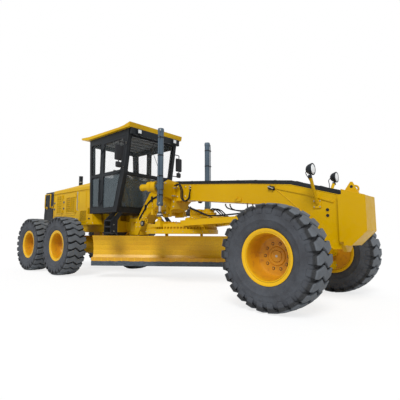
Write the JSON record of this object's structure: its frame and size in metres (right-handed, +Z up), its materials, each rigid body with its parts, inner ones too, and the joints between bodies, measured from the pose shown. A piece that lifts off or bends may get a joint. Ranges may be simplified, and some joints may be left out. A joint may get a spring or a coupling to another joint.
{
  "type": "motor grader",
  "caption": "Full-size articulated motor grader with a box-beam front frame, leaning front wheels, toothed blade circle, curved blade, glazed cab and tandem rear wheels.",
  "frame": {"origin": "on the ground under the middle of the machine's length and width", "axes": "+X forward, +Y left, +Z up"},
  "size_m": [8.82, 2.5953, 3.305],
  "materials": {
    "yellow_paint": "golden yellow machine paint, slightly glossy",
    "black_paint": "black satin paint",
    "frame_grey": "dark grey chassis paint",
    "cylinder_grey": "grey-blue paint on cylinder barrels",
    "chrome_rod": "hard chrome rod",
    "edge_steel": "worn blue-grey cutting steel",
    "cast_grey": "dark cast iron",
    "tyre_rubber": "dark grey tyre rubber",
    "clear_glass": "lightly tinted safety glass",
    "seat_plastic": "dark cab trim",
    "lamp_body": "pale lamp lens and body"
  },
  "bodies": {
    "rear_machine": {"rear_frame": "yellow_paint", "tail_guard": "black_paint", "engine": "cast_grey", "tandem_axle": "yellow_paint", "hood": "yellow_paint", "exhaust": "black_paint", "side_boxes": "yellow_paint", "handrails": "yellow_paint", "cab_shell": "black_paint", "cab_glass": "clear_glass", "cab_roof": "yellow_paint", "work_lamps": "lamp_body", "operator_station": "seat_plastic", "mirrors": "black_paint", "steps": "black_paint"},
    "front_machine": {"front_frame": "yellow_paint", "hose_cover": "black_paint", "front_block": "yellow_paint", "headlamps": "yellow_paint", "saddle": "yellow_paint", "front_axle": "yellow_paint"},
    "lean_bar": {"lean_bar": "yellow_paint"},
    "tie_end": {"tie_end": "cast_grey"},
    "tie_rod": {"tie_rod": "yellow_paint"},
    "drawbar_swivel": {"drawbar_swivel": "cast_grey"},
    "drawbar": {"drawbar": "yellow_paint", "circle_drive": "yellow_paint"},
    "circle": {"circle": "yellow_paint"},
    "blade_carrier": {"blade_carrier": "yellow_paint"},
    "blade": {"moldboard": "yellow_paint", "cutting_edge": "edge_steel"},
    "lean_bracket_right": {"lean_bracket_right": "yellow_paint"},
    "knuckle_right": {"knuckle_right": "yellow_paint"},
    "lift_barrel_right": {"lift_barrel_right": "cylinder_grey"},
    "lift_rod_right": {"lift_rod_right": "chrome_rod"},
    "cab_door_right": {"cab_door_right": "black_paint", "door_glass_right": "clear_glass"},
    "hood_door_rear_right": {"hood_door_rear_right": "yellow_paint"},
    "hood_door_mid_right": {"hood_door_mid_right": "yellow_paint"},
    "wheel_front_right": {"tyre_front_right": "tyre_rubber", "rim_front_right": "yellow_paint"},
    "wheel_mid_right": {"tyre_mid_right": "tyre_rubber", "rim_mid_right": "yellow_paint"},
    "wheel_rear_right": {"tyre_rear_right": "tyre_rubber", "rim_rear_right": "yellow_paint"},
    "lean_bracket_left": {"lean_bracket_left": "yellow_paint"},
    "knuckle_left": {"knuckle_left": "yellow_paint"},
    "lift_barrel_left": {"lift_barrel_left": "cylinder_grey"},
    "lift_rod_left": {"lift_rod_left": "chrome_rod"},
    "cab_door_left": {"cab_door_left": "black_paint", "door_glass_left": "clear_glass"},
    "hood_door_rear_left": {"hood_door_rear_left": "yellow_paint"},
    "hood_door_mid_left": {"hood_door_mid_left": "yellow_paint"},
    "wheel_front_left": {"tyre_front_left": "tyre_rubber", "rim_front_left": "yellow_paint"},
    "wheel_mid_left": {"tyre_mid_left": "tyre_rubber", "rim_mid_left": "yellow_paint"},
    "wheel_rear_left": {"tyre_rear_left": "tyre_rubber", "rim_rear_left": "yellow_paint"}
  },
  "joints": [
    {"name": "articulation", "type": "hinge", "parent": "rear_machine", "child": "front_machine", "pos_m": [-0.61, 0, 1.12], "axis": [0, 0, 1], "range_deg": [-25, 25]},
    {"name": "wheel_lean_right", "type": "hinge", "parent": "front_machine", "child": "lean_bracket_right", "pos_m": [3.54, -0.78, 0.47], "axis": [1, 0, 0], "range_deg": [-17.5, 17.5]},
    {"name": "steer_right", "type": "hinge", "parent": "lean_bracket_right", "child": "knuckle_right", "pos_m": [3.54, -0.78, 0.675], "axis": [0, 0, 1], "range_deg": [-45, 45]},
    {"name": "wheel_front_right", "type": "hinge", "parent": "knuckle_right", "child": "wheel_front_right", "pos_m": [3.54, -1.075, 0.675], "axis": [0, 1, 0], "continuous": true},
    {"name": "wheel_mid_right", "type": "hinge", "parent": "rear_machine", "child": "wheel_mid_right", "pos_m": [-1.91, -1.075, 0.675], "axis": [0, 1, 0], "continuous": true},
    {"name": "wheel_rear_right", "type": "hinge", "parent": "rear_machine", "child": "wheel_rear_right", "pos_m": [-3.45, -1.075, 0.675], "axis": [0, 1, 0], "continuous": true},
    {"name": "wheel_lean_left", "type": "hinge", "parent": "front_machine", "child": "lean_bracket_left", "pos_m": [3.54, 0.78, 0.47], "axis": [1, 0, 0], "range_deg": [-17.5, 17.5]},
    {"name": "steer_left", "type": "hinge", "parent": "lean_bracket_left", "child": "knuckle_left", "pos_m": [3.54, 0.78, 0.675], "axis": [0, 0, 1], "range_deg": [-45, 45]},
    {"name": "wheel_front_left", "type": "hinge", "parent": "knuckle_left", "child": "wheel_front_left", "pos_m": [3.54, 1.075, 0.675], "axis": [0, 1, 0], "continuous": true},
    {"name": "wheel_mid_left", "type": "hinge", "parent": "rear_machine", "child": "wheel_mid_left", "pos_m": [-1.91, 1.075, 0.675], "axis": [0, 1, 0], "continuous": true},
    {"name": "wheel_rear_left", "type": "hinge", "parent": "rear_machine", "child": "wheel_rear_left", "pos_m": [-3.45, 1.075, 0.675], "axis": [0, 1, 0], "continuous": true},
    {"name": "lean_bar_pin", "type": "hinge", "parent": "lean_bracket_right", "child": "lean_bar", "pos_m": [3.395, -0.78, 0.885], "axis": [1, 0, 0], "range_deg": [-17.5, 17.5]},
    {"name": "tie_end_turn", "type": "hinge", "parent": "knuckle_right", "child": "tie_end", "pos_m": [3.24, -0.78, 0.555], "axis": [0, 0, 1], "range_deg": [-45, 45]},
    {"name": "tie_rod_level", "type": "hinge", "parent": "tie_end", "child": "tie_rod", "pos_m": [3.24, -0.78, 0.555], "axis": [1, 0, 0], "range_deg": [-17.5, 17.5]},
    {"name": "drawbar_swing", "type": "hinge", "parent": "front_machine", "child": "drawbar_swivel", "pos_m": [2.81, 0, 1.24], "axis": [0, 0, 1], "range_deg": [-15, 15]},
    {"name": "drawbar_lift", "type": "hinge", "parent": "drawbar_swivel", "child": "drawbar", "pos_m": [2.81, 0, 1.24], "axis": [0, 1, 0], "range_deg": [-12, 3.4]},
    {"name": "circle_turn", "type": "hinge", "parent": "drawbar", "child": "circle", "pos_m": [0.92, 0, 1.022], "axis": [0, 0, 1], "continuous": true},
    {"name": "blade_tip", "type": "hinge", "parent": "circle", "child": "blade_carrier", "pos_m": [0.42248, 0.59292, 0.47], "axis": [0.766, 0.6428, 0], "range_deg": [-5, 40]},
    {"name": "blade_side_shift", "type": "slide", "parent": "blade_carrier", "child": "blade", "axis": [0.766, 0.6428, 0], "range_m": [-0.1, 0.92]},
    {"name": "lift_barrel_right", "type": "hinge", "parent": "front_machine", "child": "lift_barrel_right", "pos_m": [1.01, -0.7, 1.85], "axis": [0.9321, 0.3623, 0], "range_deg": [-42.5, 42.5]},
    {"name": "lift_rod_right", "type": "slide", "parent": "lift_barrel_right", "child": "lift_rod_right", "axis": [0, 0, 1], "range_m": [-0.39, 0.112]},
    {"name": "lift_barrel_left", "type": "hinge", "parent": "front_machine", "child": "lift_barrel_left", "pos_m": [1.01, 0.7, 1.85], "axis": [0.9321, -0.3623, 0], "range_deg": [-42.5, 42.5]},
    {"name": "lift_rod_left", "type": "slide", "parent": "lift_barrel_left", "child": "lift_rod_left", "axis": [0, 0, 1], "range_m": [-0.39, 0.112]},
    {"name": "cab_door_right", "type": "hinge", "parent": "rear_machine", "child": "cab_door_right", "pos_m": [-0.952, -0.734, 2.2], "axis": [0, 0, -1], "range_deg": [0, 95]},
    {"name": "hood_door_rear_right", "type": "hinge", "parent": "rear_machine", "child": "hood_door_rear_right", "pos_m": [-3.183, -0.514, 1.74], "axis": [0, 0, 1], "range_deg": [0, 90]},
    {"name": "hood_door_mid_right", "type": "hinge", "parent": "rear_machine", "child": "hood_door_mid_right", "pos_m": [-2.463, -0.514, 1.74], "axis": [0, 0, 1], "range_deg": [0, 90]},
    {"name": "cab_door_left", "type": "hinge", "parent": "rear_machine", "child": "cab_door_left", "pos_m": [-0.952, 0.734, 2.2], "axis": [0, 0, 1], "range_deg": [0, 95]},
    {"name": "hood_door_rear_left", "type": "hinge", "parent": "rear_machine", "child": "hood_door_rear_left", "pos_m": [-3.183, 0.514, 1.74], "axis": [0, 0, -1], "range_deg": [0, 90]},
    {"name": "hood_door_mid_left", "type": "hinge", "parent": "rear_machine", "child": "hood_door_mid_left", "pos_m": [-2.463, 0.514, 1.74], "axis": [0, 0, -1], "range_deg": [0, 90]}
  ],
  "couplings": [
    {"joint": "wheel_lean_left", "follows": "wheel_lean_right", "ratio": 1},
    {"joint": "steer_left", "follows": "steer_right", "ratio": 1},
    {"joint": "lean_bar_pin", "follows": "wheel_lean_right", "ratio": -1},
    {"joint": "tie_end_turn", "follows": "steer_right", "ratio": -1},
    {"joint": "tie_rod_level", "follows": "wheel_lean_right", "ratio": -1},
    {"joint": "lift_barrel_right", "follows": "drawbar_swing", "ratio": -2.8},
    {"joint": "lift_rod_right", "follows": "drawbar_lift", "m_per_rad": 1.792},
    {"joint": "lift_barrel_left", "follows": "drawbar_swing", "ratio": -2.8},
    {"joint": "lift_rod_left", "follows": "drawbar_lift", "m_per_rad": 1.792}
  ]
}
